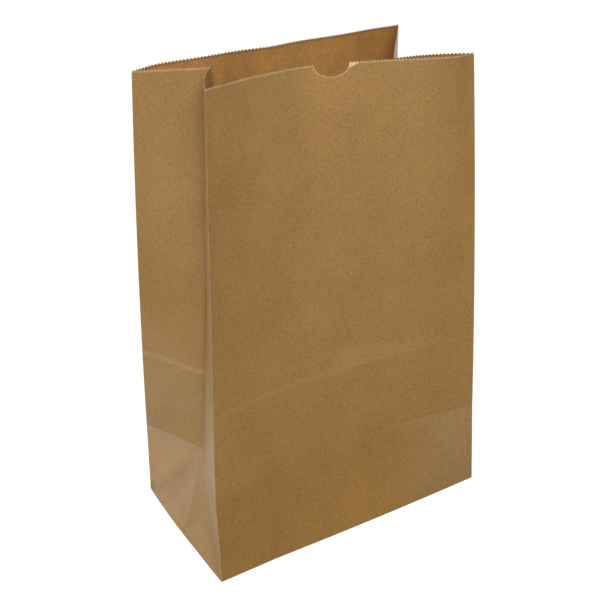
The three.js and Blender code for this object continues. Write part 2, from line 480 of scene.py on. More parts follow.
    def relief(self, panel: Panel, along: float, height: float) -> float:
        """How far the paper stands out of its folded plane, as handling has left it.

        Args:
            panel, along, height: the point's panel, and how far along it and up the paper it lies.

        Returns:
            The distance, outwards positive.
        """
        around = panel.offset + along
        edge = min(along, panel.width - along)
        fade = min(1.0, edge / self.fold_fade) * min(1.0, height / self.fold_fade)
        return fade * sum(swell.at(around, height) for swell in self.swells)

    def flat_panels(self) -> None:
        """Lays the panels out flat and side by side, and welds them into one sheet."""
        for panel in self.panels:
            for rows, low, high in zip(self.rows, self.levels, self.levels[1:]):
                size = Matrix.Diagonal((panel.width, high - low, 1.0, 1.0))
                middle = Matrix.Translation((panel.offset + panel.width / 2, (low + high) / 2, 0.0))
                bmesh.ops.create_grid(
                    self.bm, x_segments=panel.teeth, y_segments=rows, size=0.5, matrix=middle @ size
                )
        bmesh.ops.remove_doubles(self.bm, verts=self.bm.verts[:], dist=WELD)

    def score_diagonals(self) -> None:
        """Scores the diagonal folds of the gusset feet."""
        for panel in self.panels:
            if panel.kind is PanelKind.PLAIN:
                continue
            centre_first = panel.kind is PanelKind.CENTRE_FIRST
            corner = panel.offset + (panel.width if centre_first else 0.0)
            lean = panel.width if centre_first else -panel.width
            faces = [face for face in self.bm.faces if self.on_foot(face, panel)]
            self.bisect(faces, Vector((corner, 0.0, 0.0)), Vector((self.waist, lean, 0.0)))

    def on_foot(self, face: Face, panel: Panel) -> bool:
        """Whether a face of the flat sheet lies on the foot of a panel."""
        middle = face.calc_center_median()
        return middle.y < self.waist and panel.offset < middle.x < panel.offset + panel.width

    def bisect(self, faces: list[Face], point: Vector, normal: Vector, trim: bool = False) -> None:
        """Cuts some faces along a plane.

        Args:
            faces: the faces.
            point: a point of the plane.
            normal: the direction out of the plane.
            trim: whether what lies past the plane is taken away.
        """
        edges = dict.fromkeys(e for f in faces for e in f.edges)
        verts = dict.fromkeys(v for f in faces for v in f.verts)
        bmesh.ops.bisect_plane(
            self.bm,
            geom=[*verts, *edges, *faces],
            dist=CUT,
            plane_co=point,
            plane_no=normal.normalized(),
            clear_outer=trim,
        )

    def cut_teeth(self) -> None:
        """Draws the sheet up to the mouth and cuts its edge into teeth."""
        top = self.levels[-1]
        edges = [e for e in self.bm.edges if e.is_boundary and all(abs(v.co.y - top) < WELD for v in e.verts)]
        made = bmesh.ops.extrude_edge_only(self.bm, edges=edges)["geom"]
        rise = Vector((0.0, self.height - self.tooth_depth - top, 0.0))
        bmesh.ops.translate(self.bm, verts=[g for g in made if isinstance(g, Vert)], vec=rise)
        drawn = [g for g in made if isinstance(g, bmesh.types.BMEdge) and g.is_boundary]
        rim = [e for e in drawn if abs(e.verts[0].co.y - e.verts[1].co.y) < WELD]
        cut = bmesh.ops.subdivide_edges(self.bm, edges=rim, cuts=1)["geom_inner"]
        tips = [g for g in cut if isinstance(g, Vert)]
        bmesh.ops.translate(self.bm, verts=tips, vec=Vector((0.0, self.tooth_depth, 0.0)))

    def settle(self) -> None:
        """Puts the edges and faces in the order of their points, which is the same in each run."""
        self.bm.verts.index_update()
        for parts in (self.bm.edges, self.bm.faces):
            ordered = sorted(parts, key=lambda part: sorted(v.index for v in part.verts))
            rank = {part: i for i, part in enumerate(ordered)}
            parts.sort(key=rank.get)
            parts.index_update()

    def cut_notch(self) -> None:
        """Draws the edge of the front panel down into the oval thumb notch."""
        reach, middle = self.notch_width / 2, self.notch_middle
        low = self.height - self.notch_draw * self.notch_depth
        rim = self.height - self.rim_room * self.tooth_depth
        for i in range(self.notch_steps + 1):
            at = middle - reach * math.cos(math.pi * i / self.notch_steps)
            faces = self.faces_near(middle, 2 * reach, low)
            self.bisect(faces, Vector((at, 0.0, 0.0)), Vector((1.0, 0.0, 0.0)))
        for v in self.bm.verts:
            out = abs(v.co.x - middle)
            if out <= reach - WELD and v.co.y >= low:
                share = 1.0 if v.co.y > rim else (v.co.y - low) / (self.height - low)
                v.co.y = low + share * (self.height - self.notch_sunk(out) - low)

    def faces_near(self, middle: float, reach: float, low: float) -> list[Face]:
        """The faces of the flat sheet above a height and within reach of a distance along it."""
        centres = [(f, f.calc_center_median()) for f in self.bm.faces]
        return [f for f, c in centres if c.y > low and abs(c.x - middle) < reach]

    def score_ear(self) -> list[Vert]:
        """Scores the bent corner beside the notch.

        Returns:
            The points of the corner, past its fold.
        """
        start, end = (Vector((x, y, 0.0)) for x, y in self.ear)
        past = Vector((start.y - end.y, end.x - start.x, 0.0))
        faces = self.faces_near((start.x + end.x) / 2, self.ear_reach, self.height - self.ear_reach)
        self.bisect(faces, start, past)
        low = start.y - self.ear_slack
        near = [v for v in self.bm.verts if self.notch_middle < v.co.x < end.x and v.co.y > low]
        return [v for v in near if (v.co - start).dot(past) > CUT * past.length]

    def bend_ear(self, corner: list[Vert]) -> None:
        """Bends the corner beside the notch back along its fold.

        Args:
            corner: the points of the corner.
        """
        start, end = (self.place(self.panel(Side.FRONT), x, y) for x, y in self.ear)
        turn = Matrix.Rotation(math.radians(self.ear_turn), 3, end - start)
        bmesh.ops.rotate(self.bm, verts=corner, cent=start, matrix=turn)

    @staticmethod
    def lay_uv(layer: bmesh.types.BMLayerItem, faces: Iterable[Face], shift: Pair = (0.0, 0.0)) -> None:
        """Keeps the place of each corner on its flat sheet, in metres, as its UV.

        Args:
            layer: the UV layer.
            faces: the faces, still flat.
            shift: how far the faces are set apart in their UV.
        """
        for face in faces:
            for loop in face.loops:
                loop[layer].uv = (loop.vert.co.x + shift[0], loop.vert.co.y + shift[1])

    def fold_up(self) -> None:
        """Folds the flat sheet into the standing bag."""
        for v in self.bm.verts:
            panel = self.panel_at(v.co.x)
            along = min(max(v.co.x - panel.offset, 0.0), panel.width)
            out = self.way_out(panel, along, v.co.y) * self.relief(panel, along, v.co.y)
            v.co = self.place(panel, along, v.co.y) + out

    def add_base(self) -> None:
        """Closes the bag with the sheet of its base and folds its two flaps over each other underneath."""
        cells = (self.panel(Side.FRONT).teeth, 2 * self.panel(Side.RIGHT_FRONT).teeth)
        self.add_flat(cells, self.base_level, [])
        edge = -self.flap_overlap / 2
        hinge = self.depth / 2 - self.flap_inset
        forward, backward = Vector((0.0, -1.0, 0.0)), Vector((0.0, 1.0, 0.0))
        back = [(backward * hinge, backward), (backward * edge, forward)]
        front = [(forward * hinge, forward), (backward * (edge - self.flap_gap), backward)]
        for planes, turn in ((back, 1.0), (front, -1.0)):
            corners = [
                (Vector((side * self.width / 2, turn * self.depth / 2, 0.0)), Vector((side, -turn, 0.0)))
                for side in (-1.0, 1.0)
            ]
            self.add_flat((1, 1), self.paper / 2, [*planes, *corners])

    def add_flat(self, cells: tuple[int, int], level: float, trims: list[tuple[Vector, Vector]]) -> None:
        """Adds a level sheet under the bag, as large as the base but for what lies past some planes.

        Args:
            cells: cells across and deep.
            level: height of the middle of the sheet.
            trims: a point and an outward direction for each plane.
        """
        before = set(self.bm.faces)
        size = Matrix.Diagonal((self.width, self.depth, 1.0, 1.0))
        lift = Matrix.Translation((0.0, 0.0, level))
        bmesh.ops.create_grid(self.bm, x_segments=cells[0], y_segments=cells[1], size=0.5, matrix=lift @ size)
        for point, normal in trims:
            self.bisect([f for f in self.bm.faces if f not in before], point, normal, trim=True)
        faces = [f for f in self.bm.faces if f not in before]
        bmesh.ops.reverse_faces(self.bm, faces=faces)
        shift = (self.base_shift[0] + level, self.base_shift[1])
        self.lay_uv(self.bm.loops.layers.uv.verify(), faces, shift)

    def add_lap(self) -> None:
        """Lays the sheet's glued end over its other end, down the back."""
        back = self.panel(Side.BACK)
        low, high = self.seam_margin, self.height - self.tooth_depth - self.seam_margin
        left = back.width - self.seam_inset - self.seam_lap
        before, known = set(self.bm.faces), set(self.bm.verts)
        size = Matrix.Diagonal((self.seam_lap, high - low, 1.0, 1.0))
        middle = Matrix.Translation((left + self.seam_lap / 2, (low + high) / 2, 0.0))
        rows = sum(self.rows)
        bmesh.ops.create_grid(
            self.bm, x_segments=self.seam_cells, y_segments=rows, size=0.5, matrix=middle @ size
        )
        lap = [f for f in self.bm.faces if f not in before]
        self.lay_uv(self.bm.loops.layers.uv.verify(), lap, self.seam_shift)
        for v in self.bm.verts:
            if v not in known:
                along, height = v.co.x, v.co.y
                lift = self.relief(back, along, height) + self.paper + self.glue
                v.co = self.place(back, along, height) + self.way_out(back, along, height) * lift

    def ease_foot(self) -> None:
        """Bows the left and front edges of the base outwards, as the paper there has eased."""
        for v in self.bm.verts:
            low = max(0.0, 1.0 - v.co.z / self.ease_height) ** 2
            across, deep = 2 * v.co.x / self.width, 2 * v.co.y / self.depth
            side = self.beyond(-across, self.side_start) * (1.0 - min(1.0, deep**2))
            front = self.beyond(-deep, self.front_start) * (1.0 - min(1.0, across**2))
            corner = self.beyond(-across, self.corner_start[0]) * self.beyond(-deep, self.corner_start[1])
            pull = Vector((*self.corner_pull, 0.0)) * corner
            v.co += (Vector((-self.side_bow * side, -self.front_bow * front, 0.0)) + pull) * low

    @staticmethod
    def beyond(share: float, start: float) -> float:
        """How far a share is past its start, from nought there to one where the share is one."""
        return min(1.0, max(0.0, share - start) / (1.0 - start))

    def thicken(self) -> None:
        """Gives the sheet its thickness, and sets the place of its inner face on the sheet apart."""
        layer = self.bm.loops.layers.uv.verify()
        self.bm.normal_update()
        made = bmesh.ops.solidify(self.bm, geom=self.bm.faces[:], thickness=self.paper)["geom"]
        for face in made:
            if isinstance(face, Face):
                for loop in face.loops:
                    loop[layer].uv.x += self.inner_shift

    def crisp_folds(self) -> None:
        """Shades the sheet smooth, but for its folds."""
        for face in self.bm.faces:
            face.smooth = True
        for edge in self.bm.edges:
            if len(edge.link_faces) == 2 and edge.calc_face_angle() > math.radians(self.crisp_angle):
                edge.smooth = False

    def build(self) -> bpy.types.Object:
        """Makes the bag.

        Returns:
            The bag's object.
        """
        self.flat_panels()
        self.score_diagonals()
        self.cut_teeth()
        self.settle()
        self.cut_notch()
        corner = self.score_ear()
        self.lay_uv(self.bm.loops.layers.uv.new(self.uv_name), self.bm.faces)
        self.fold_up()
        self.bend_ear(corner)
        bmesh.ops.remove_doubles(self.bm, verts=self.bm.verts[:], dist=WELD)
        self.add_base()
        bmesh.ops.remove_doubles(self.bm, verts=self.bm.verts[:], dist=WELD)
        self.ease_foot()
        self.add_lap()
        self.thicken()
        self.settle()
        self.crisp_folds()
        mesh = bpy.data.meshes.new("paper_bag")
        self.bm.to_mesh(mesh)
        self.bm.free()
        bag = bpy.data.objects.new("paper_bag", mesh)
        bpy.context.scene.collection.objects.link(bag)
        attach(bag, "root")
        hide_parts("bag")
        LOG.info("%s: %d faces", bag.name, len(mesh.polygons))
        return bag


Number = Union["Signal", float, int]


class Signal:
    """A shader socket that takes part in arithmetic."""

    def __init__(self, graph: "Graph", socket: bpy.types.NodeSocket) -> None:
        """Keeps the socket and the graph it belongs to."""
        self.graph = graph
        self.socket = socket

    def __add__(self, other: Number) -> "Signal":
        """The sum."""
        return self.graph.maths("ADD", self, other)

    def __sub__(self, other: Number) -> "Signal":
        """The difference."""
        return self.graph.maths("SUBTRACT", self, other)

    def __rsub__(self, other: Number) -> "Signal":
        """The difference, taken from the other."""
        return self.graph.maths("SUBTRACT", other, self)

    def __mul__(self, other: Number) -> "Signal":
        """The product."""
        return self.graph.maths("MULTIPLY", self, other)

    def __truediv__(self, other: Number) -> "Signal":
        """The quotient."""
        return self.graph.maths("DIVIDE", self, other)

    def __rtruediv__(self, other: Number) -> "Signal":
        """The quotient, with the other divided."""
        return self.graph.maths("DIVIDE", other, self)

    def __pow__(self, power: float) -> "Signal":
        """The power."""
        return self.graph.maths("POWER", self, power)

    def __abs__(self) -> "Signal":
        """The size without its sign."""
        return self.graph.maths("ABSOLUTE", self)

    __radd__ = __add__
    __rmul__ = __mul__


@dataclass
class Graph:
    """A node tree that nodes are added to."""

    tree: bpy.types.NodeTree

    def node(
        self,
        kind: str,
        settings: Optional[dict[str, Any]] = None,
        sockets: Optional[dict[Union[str, int], Any]] = None,
    ) -> bpy.types.Node:
        """Adds a node.

        Args:
            kind: the node's type.
            settings: its own properties, set first.
            sockets: a value or a signal for each of its inputs.

        Returns:
            The node.
        """
        made = self.tree.nodes.new(kind)
        for name, value in (settings or {}).items():
            setattr(made, name, value)
        for name, value in (sockets or {}).items():
            self.feed(made.inputs[name], value)
        return made

    def feed(self, socket: bpy.types.NodeSocket, value: Any) -> None:
        """Joins a signal to an input, or sets the input's own value.

        Args:
            socket: the input.
            value: the signal or the value.
        """
        if isinstance(value, Signal):
            self.tree.links.new(value.socket, socket)
        else:
            socket.default_value = value

    def maths(self, operation: str, *values: Number) -> Signal:
        """The result of a maths node."""
        made = self.node("ShaderNodeMath", {"operation": operation}, dict(enumerate(values)))
        return Signal(self, made.outputs[0])

    def chain(self, operation: str, values: Iterable[Signal]) -> Signal:
        """Some values taken together, one after another.

        Args:
            operation: the operation of the maths nodes, such as MAXIMUM.
            values: the values.

        Returns:
            The result.
        """
        result, *others = values
        for other in others:
            result = self.maths(operation, result, other)
        return result

    def ramp(self, value: Signal, span: Pair, ends: Pair = (0.0, 1.0)) -> Signal:
        """A smooth step as a value goes through a span.

        Args:
            value: the value.
            span: where the step starts and ends.
            ends: the result at the span's start and end.

        Returns:
            The result.
        """
        spans = {"From Min": span[0], "From Max": span[1], "To Min": ends[0], "To Max": ends[1]}
        settings = {"interpolation_type": "SMOOTHSTEP"}
        made = self.node("ShaderNodeMapRange", settings, {"Value": value, **spans})
        return Signal(self, made.outputs["Result"])

    def mix(self, share: Number, first: Any, second: Any, blend: str = "MIX") -> Signal:
        """A colour between two others, or blended from them.

        Args:
            share: share of the second colour.
            first: the first colour, as a signal or three numbers.
            second: the second colour.
            blend: how the second colour is laid on the first.

        Returns:
            The colour.
        """
        settings = {"data_type": "RGBA", "blend_type": blend, "clamp_factor": True}
        colours = {0: share, 6: self.opaque(first), 7: self.opaque(second)}
        return Signal(self, self.node("ShaderNodeMix", settings, colours).outputs[2])

    @staticmethod
    def opaque(colour: Any) -> Any:
        """A colour with its alpha, or the signal it already is."""
        return colour if isinstance(colour, Signal) else (*colour, 1.0)

    def split(self, vector: bpy.types.NodeSocket) -> tuple[Signal, Signal, Signal]:
        """The three parts of a vector."""
        parts = self.node("ShaderNodeSeparateXYZ", None, {0: Signal(self, vector)}).outputs
        return Signal(self, parts[0]), Signal(self, parts[1]), Signal(self, parts[2])

    def join(self, *parts: Number) -> Signal:
        """A vector from its parts."""
        made = self.node("ShaderNodeCombineXYZ", None, dict(enumerate(parts)))
        return Signal(self, made.outputs[0])


@dataclass(frozen=True)
class Texture:
    """A soft noise about zero over the flat sheet.

    Args:
        scale: how many of its clouds lie along a metre.
        layer: the layer of the noise that it is cut from.
        detail: how many finer noises it has.
        rough: how strong the finer noises are.
        weight: how strong it is as a whole.
    """

    scale: float
    layer: float
    detail: float
    rough: float = 0.5
    weight: float = 1.0


@dataclass(frozen=True)
class Step:
    """A smooth step as a measure goes through a span.

    Args:
        of: the measure, taken at a spot.
        span: where the step starts and ends.
        ends: its value at the span's start and end.
    """

    of: Callable[["Spot"], Signal]
    span: Pair
    ends: Pair = (0.0, 1.0)


# The share of its tone that a mark has is the product of its steps
Mark = tuple[Step, ...]


@dataclass
class Spot:
    """A point of the paper, with the measures that a finish reads there, in metres or as ratios."""

    graph: Graph
    sheet: BagSheet
    wander: Texture = Texture(60.0, 15.8, 2.0, weight=0.004)
    waist_wander: float = 0.3
    crease_tilt: float = 0.007
    tilt_edge: Pair = (-0.001, 0.0)
    ribbon_narrows: Pair = (0.14, 0.28)
    ribbon_height: Pair = (0.018, 0.006)
    stripe_at: Pair = (0.192, 0.026)
    stripe_size: Pair = (0.022, 0.05)
    # Where the painted shade at the back-left corner of the base sits
    corner_shade_at: Pair = (0.002, 0.003)
    # How far the painted shadow inside the back reaches further along lower down
    shadow_lean: float = 0.6
    laid: Signal = field(init=False)
    along: Signal = field(init=False)
    up: Signal = field(init=False)
    inner: Signal = field(init=False)
    outer: Signal = field(init=False)
    inset_by: Signal = field(init=False)
    stray: Signal = field(init=False)

    def __post_init__(self) -> None:
        """Reads the point's place on the flat sheet from its UV."""
        uv = self.graph.node("ShaderNodeUVMap", {"uv_map": self.sheet.uv_name})
        self.laid, self.up, _ = self.graph.split(uv.outputs[0])
        self.inner = self.graph.maths("GREATER_THAN", self.laid, self.sheet.inner_from)
        self.outer = 1.0 - self.inner
        self.along = self.laid - self.sheet.inner_shift * self.inner
        self.inset_by = self.sheet.depth / 2 - self.off_centre()
        self.stray = self.noise(self.wander, self.along)

    def noise(self, texture: Texture, along: Signal) -> Signal:
        """A texture at the point.

        Args:
            texture: the texture.
            along: distance round the sheet.

        Returns:
            The noise, up to about half its weight either way.
        """
        place = self.graph.join(along * texture.scale, self.up * texture.scale, texture.layer)
        sockets = {"Vector": place, "Scale": 1.0, "Detail": texture.detail, "Roughness": texture.rough}
        made = self.graph.node("ShaderNodeTexNoise", None, sockets)
        return texture.weight * (Signal(self.graph, made.outputs[0]) - 0.5)

    def share(self, mark: Mark) -> Signal:
        """The share of its tone that a mark has at the point."""
        steps = [self.graph.ramp(step.of(self), step.span, step.ends) for step in mark]
        return self.graph.chain("MULTIPLY", steps)

    def past(self, side: Side) -> Signal:
        """Round the sheet from the start of a panel."""
        return self.along - self.sheet.panel(side).offset

    def nearest(self, *sides: Side) -> Signal:
        """From the nearest of the folds at which some panels start."""
        return self.graph.chain("MINIMUM", [abs(self.past(side)) for side in sides])

    def around(self) -> Signal:
        """Round the sheet."""
        return self.along

    def height(self) -> Signal:
        """Up the paper."""
        return self.up

    def over_waist(self) -> Signal:
        """Up from the waist crease."""
        return self.up - self.sheet.waist

    def below_mouth(self) -> Signal:
        """Down from the tips of the teeth."""
        return self.sheet.height - self.up

    def past_left_back(self) -> Signal:
        """Round the sheet from the back left fold."""
        return self.past(Side.LEFT_BACK)

    def past_left_front(self) -> Signal:
        """Round the sheet from the centre fold of the left gusset."""
        return self.past(Side.LEFT_FRONT)

    def off_fold(self) -> Signal:
        """From the nearest corner fold."""
        nearest = self.nearest(Side.FRONT, Side.RIGHT_FRONT, Side.BACK, Side.LEFT_BACK)
        return self.graph.maths("MINIMUM", nearest, abs(self.along - self.sheet.girth))

    def off_centre(self) -> Signal:
        """From the nearest centre fold of a gusset."""
        return self.nearest(Side.RIGHT_BACK, Side.LEFT_FRONT)

    def inset(self) -> Signal:
        """Into a gusset from its corner fold."""
        return self.inset_by

    def rise(self) -> Signal:
        """Up from the diagonal fold of a gusset foot."""
        half, waist = self.sheet.depth / 2, self.sheet.waist
        return (self.up * half - self.inset_by * waist) / math.hypot(waist, half)

    def off_diagonal(self) -> Signal:
        """From the diagonal fold of a gusset foot."""
        return abs(self.rise())

    def off_waist(self) -> Signal:
        """From the waist crease as it wanders."""
        return abs(self.over_waist() + self.waist_wander * self.stray)

    def over_crease(self) -> Signal:
        """Up from the upper crease as it wanders."""
        return self.up - self.sheet.crease + self.stray

    def off_crease(self) -> Signal:
        """From the upper crease, which is tilted on the gussets."""
        tilt = self.graph.ramp(self.inset_by, (0.0, self.sheet.depth / 2), (self.crease_tilt, 0.0))
        return abs(self.over_crease() - tilt * self.graph.ramp(self.inset_by, self.tilt_edge))

    def in_ribbon(self) -> Signal:
        """Up from the upper crease, as a ratio of the height of the pale ribbon there."""
        return self.over_crease() / self.graph.ramp(self.along, self.ribbon_narrows, self.ribbon_height)

    def in_notch(self) -> Signal:
        """From the middle of the notch, as a ratio of its size."""
        out = (self.along - self.sheet.notch_middle) / (self.sheet.notch_width / 2)
        return self.graph.maths("SQRT", out**2 + (self.below_mouth() / self.sheet.notch_depth) ** 2)

    def past_ear(self) -> Signal:
        """Up from the fold of the bent corner.

        Returns:
            The distance.
        """
        (left, low), (right, high) = self.sheet.ear
        lean = (high - low) * (left - self.along) + (right - left) * (self.up - low)
        return lean / math.hypot(right - left, high - low)

    def ear_start(self) -> Signal:
        """Along the front from the start of the fold of the bent corner."""
        return self.along - self.sheet.ear[0][0]

    def ear_end(self) -> Signal:
        """Along the front from the end of the fold of the bent corner."""
        return self.along - self.sheet.ear[1][0]

    def down_back(self) -> Signal:
        """Along the back from its right end, further on lower down."""
        return self.past(Side.BACK) + self.shadow_lean * self.below_mouth()

    def in_stripe(self) -> Signal:
        """From the middle of the stripe inside the back, as a squared ratio of its size."""
        across = (self.past(Side.BACK) - self.stripe_at[0]) / self.stripe_size[0]
        return across**2 + ((self.below_mouth() - self.stripe_at[1]) / self.stripe_size[1]) ** 2

    def off_corner_shade(self) -> Signal:
        """From the corner of the base where shade is painted."""
        across = self.past(Side.LEFT_BACK) - self.corner_shade_at[0]
        return self.graph.maths("SQRT", across**2 + (self.up - self.corner_shade_at[1]) ** 2)


@dataclass(frozen=True)
class WearAndSheen:
    """The marks that handling has left along the paper's folds, creases and cut edges, and the painted sheen
    at the right of the front's foot and on the back half of the left gusset.
    """

    folds: Mark = (Step(Spot.off_fold, (0.0, 0.0011), (0.5, 0.0)),)
    diagonals: Mark = (
        Step(Spot.off_diagonal, (0.0, 0.002), (0.08, 0.0)),
        Step(Spot.over_waist, (0.0, 0.002), (1.0, 0.0)),
        Step(Spot.inset, (0.0, 0.002)),
    )
    centres: Mark = (
        Step(Spot.off_centre, (0.0, 0.0025), (0.16, 0.0)),
        Step(Spot.height, (0.05, 0.065), (1.0, 0.0)),
    )
    waist: Mark = (
        Step(Spot.off_waist, (0.0, 0.00165), (0.12, 0.0)),
        Step(Spot.around, (0.15, 0.22)),
    )
    crease: Mark = (
        Step(Spot.off_crease, (0.0, 0.0045), (0.18, 0.0)),
        Step(Spot.around, (0.08, 0.17), (0.4, 0.6)),
        Step(Spot.around, (0.2, 0.28), (1.0, 1 / 3)),
        Step(Spot.around, (0.303, 0.307), (1.0, 5.5)),
    )
    ribbon: Mark = (
        Step(Spot.over_crease, (-0.003, 0.001)),
        Step(Spot.in_ribbon, (0.7, 1.3), (1.0, 0.0)),
        Step(Spot.around, (0.12, 0.16), (0.0, 0.07)),
        Step(Spot.around, (0.25, 0.29), (1.0, 0.0)),
    )
    # Painted sheen: the foot of the front paler towards its right
    low_right_sheen: Mark = (
        Step(Spot.over_waist, (-0.002, 0.001), (1.0, 0.0)),
        Step(Spot.height, (0.0, 0.03), (0.7, 1.0)),
        Step(Spot.around, (0.19, 0.29), (0.0, 0.16)),
        Step(Spot.around, (0.304, 0.306), (1.0, 0.0)),
    )
    notch: Mark = (Step(Spot.in_notch, (1.0, 1.09), (0.8, 0.0)),)
    teeth: Mark = (Step(Spot.below_mouth, (0.0016, 0.0027), (0.5, 0.0)),)
    ear: Mark = (
        Step(Spot.past_ear, (-0.0002, 0.0004), (0.0, 0.9)),
        Step(Spot.ear_start, (-0.002, 0.0)),
        Step(Spot.ear_end, (0.0, 0.0005), (1.0, 0.0)),
    )
    # Painted sheen: the back half of the left gusset paler, in a low and a high band
    low_gusset_sheen: Mark = (
        Step(Spot.height, (0.105, 0.125), (0.0, 0.085)),
        Step(Spot.height, (0.155, 0.245), (1.0, 0.0)),
    )
    high_gusset_sheen: Mark = (Step(Spot.height, (0.26, 0.36), (0.0, 0.10)),)
    left_gusset: Mark = (
        Step(Spot.past_left_back, (-0.001, 0.0)),
        Step(Spot.past_left_front, (-0.01, 0.0), (1.0, 0.0)),
    )
    patches: Texture = Texture(160.0, 12.4, 3.0, 0.6)
    patch_span: Pair = (-0.35, 0.25)
    patch_share: Pair = (0.35, 1.0)

    def at(self, spot: Spot) -> Signal:
        """How pale handling and painted sheen make the paper: its strongest mark, which takes in the painted
        sheen at the front's foot, and the painted sheen on the back half of the left gusset, in patches.

        Args:
            spot: the point of the paper.

        Returns:
            The share of the pale tone of handling and sheen.
        """
        lines = (self.folds, self.diagonals, self.centres, self.waist, self.crease, self.ribbon)
        areas = (self.low_right_sheen, self.notch, self.teeth, self.ear)
        strongest = spot.graph.chain("MAXIMUM", [spot.share(mark) for mark in (*lines, *areas)])
        pale = (spot.share(self.low_gusset_sheen) + spot.share(self.high_gusset_sheen)) * spot.share(self.left_gusset)
        patches = spot.noise(self.patches, spot.along)
        return (strongest + pale) * spot.graph.ramp(patches, self.patch_span, self.patch_share)


@dataclass(frozen=True)
class Kraft:
    """Brown kraft paper, mottled and flecked, paler where it is cut or its folds are paled by handling, with
    painted light: a brighter, warmer inside, painted sheen on the gussets and the front's foot, and painted
    shade at the front's foot, at the right end inside the back and at a corner of the base.
    """

    olive_dark: Triple = (0.188, 0.106, 0.030)
    olive_light: Triple = (0.372, 0.212, 0.057)
    russet_dark: Triple = (0.194, 0.103, 0.031)
    russet_light: Triple = (0.384, 0.206, 0.060)
    # Painted light: the inner face is brighter and warmer, standing in for light and bounce light inside the
    # mouth
    inner_painted_light: Triple = (1.22, 1.06, 0.85)
    # Painted shade: the foot of the front darker and more saturated, standing in for less reflected light
    # there
    low_front_shade_tint: Triple = (1.00, 0.945, 0.78)
    # Painted sheen: a pale tan standing in for the gloss reflection on the gusset feet and the left gusset
    painted_sheen: Triple = (0.570, 0.360, 0.160)
    # Pale tone of handling on folds and edges, also used for painted sheen
    worn_and_sheen: Triple = (0.560, 0.430, 0.260)
    # Dark tone of bark flecks, also used for painted shade at a corner of the base
    fleck_and_shade: Triple = (0.090, 0.045, 0.015)
    # Painted shadow: a deep brown for the right end inside the back
    painted_shadow_tone: Triple = (0.200, 0.072, 0.002)
    roughness: Pair = (0.42, 0.9)
    gloss: float = 0.5
    bump_strength: float = 0.25
    bump_height: float = 0.0004
    cloud: Texture = Texture(22.0, 1.3, 2.0, weight=0.35)
    fibre: Texture = Texture(680.0, 4.7, 3.0, 0.7, 2.1)
    inner_mottle: Texture = Texture(75.0, 31.5, 3.0, 0.6, 0.9)
    fine_tinge: Texture = Texture(130.0, 21.7, 3.0, 0.65)
    broad_tinge: Texture = Texture(11.0, 40.2, 2.0)
    tinge_span: Pair = (-0.45, 0.45)
    wear_and_sheen: WearAndSheen = WearAndSheen()
    # Painted shade: where the foot of the front is darkened
    low_front_shade: Mark = (
        Step(Spot.height, (0.07, 0.11), (1.0, 0.0)),
        Step(Spot.around, (0.19, 0.29), (1.0, 0.0)),
        Step(Spot.around, (-0.01, 0.0)),
    )
    # Painted sheen on the upper triangles of the gusset feet
    sheen_facets: Mark = (
        Step(Spot.rise, (-0.006, 0.010), (0.0, 0.4)),
        Step(Spot.inset, (-0.001, 0.0)),
        Step(Spot.over_waist, (-0.001, 0.001), (1.0, 0.0)),
    )
    # Painted sheen in a band on the front half of the left gusset, above the waist crease
    sheen_strip: Mark = (
        Step(Spot.past_left_front, (0.015, 0.04)),
        Step(Spot.over_waist, (-0.001, 0.001)),
        Step(Spot.height, (0.11, 0.21), (0.26, 0.0)),
    )
    rim: Mark = (Step(Spot.below_mouth, (0.0022, 0.0045), (0.4, 0.0)),)
    # Painted shadow inside the back, towards its right end and lower down
    painted_shadow_end: Mark = (Step(Spot.down_back, (0.0, 0.12), (0.46, 0.0)),)
    stripe: Mark = (Step(Spot.in_stripe, (0.3, 1.2), (0.28, 0.0)),)
    # Painted shade at the back-left corner of the base
    painted_corner_shade: Mark = (Step(Spot.off_corner_shade, (0.003, 0.011), (0.45, 0.0)),)
    fleck_scale: float = 38.0
    fleck_few: Pair = (0.82, 0.84)
    fleck_edge: Pair = (0.02, 0.045)
    fleck_share: Pair = (0.85, 0.0)

    def material(self, sheet: BagSheet) -> bpy.types.Material:
        """The paper's material.

        Args:
            sheet: the sheet whose folds and edges are paled by handling.

        Returns:
            The material.
        """
        made = bpy.data.materials.new("kraft")
        made.use_nodes = True
        graph = Graph(made.node_tree)
        spot = Spot(graph, sheet)
        grain = 0.5 + spot.noise(self.cloud, spot.laid) + spot.noise(self.fibre, spot.laid)
        grain = grain + spot.inner * spot.noise(self.inner_mottle, spot.laid)
        outside, inside = self.roughness
        sockets = {"Strength": self.bump_strength, "Distance": self.bump_height, "Height": grain}
        bump = graph.node("ShaderNodeBump", None, sockets)
        shader = made.node_tree.nodes["Principled BSDF"]
        shader.inputs["Specular IOR Level"].default_value = self.gloss
        graph.feed(shader.inputs["Base Color"], self.colour(spot, grain))
        graph.feed(shader.inputs["Roughness"], outside + (inside - outside) * spot.inner)
        graph.feed(shader.inputs["Normal"], Signal(graph, bump.outputs[0]))
        return made

    def colour(self, spot: Spot, grain: Signal) -> Signal:
        """The colour of the paper with all its marks, painted light, sheen and shade among them.

        Args:
            spot: the point of the paper.
            grain: how light the paper is.

        Returns:
            The colour.
        """
        mix = spot.graph.mix
        tinge = spot.noise(self.fine_tinge, spot.laid) + spot.noise(self.broad_tinge, spot.laid)
        hue = spot.graph.ramp(tinge, self.tinge_span)
        dark = mix(hue, self.olive_dark, self.russet_dark)
        shade = mix(grain, dark, mix(hue, self.olive_light, self.russet_light))
        # Painted light: the inner face brightened and warmed
        shade = mix(spot.inner, shade, self.inner_painted_light, "MULTIPLY")
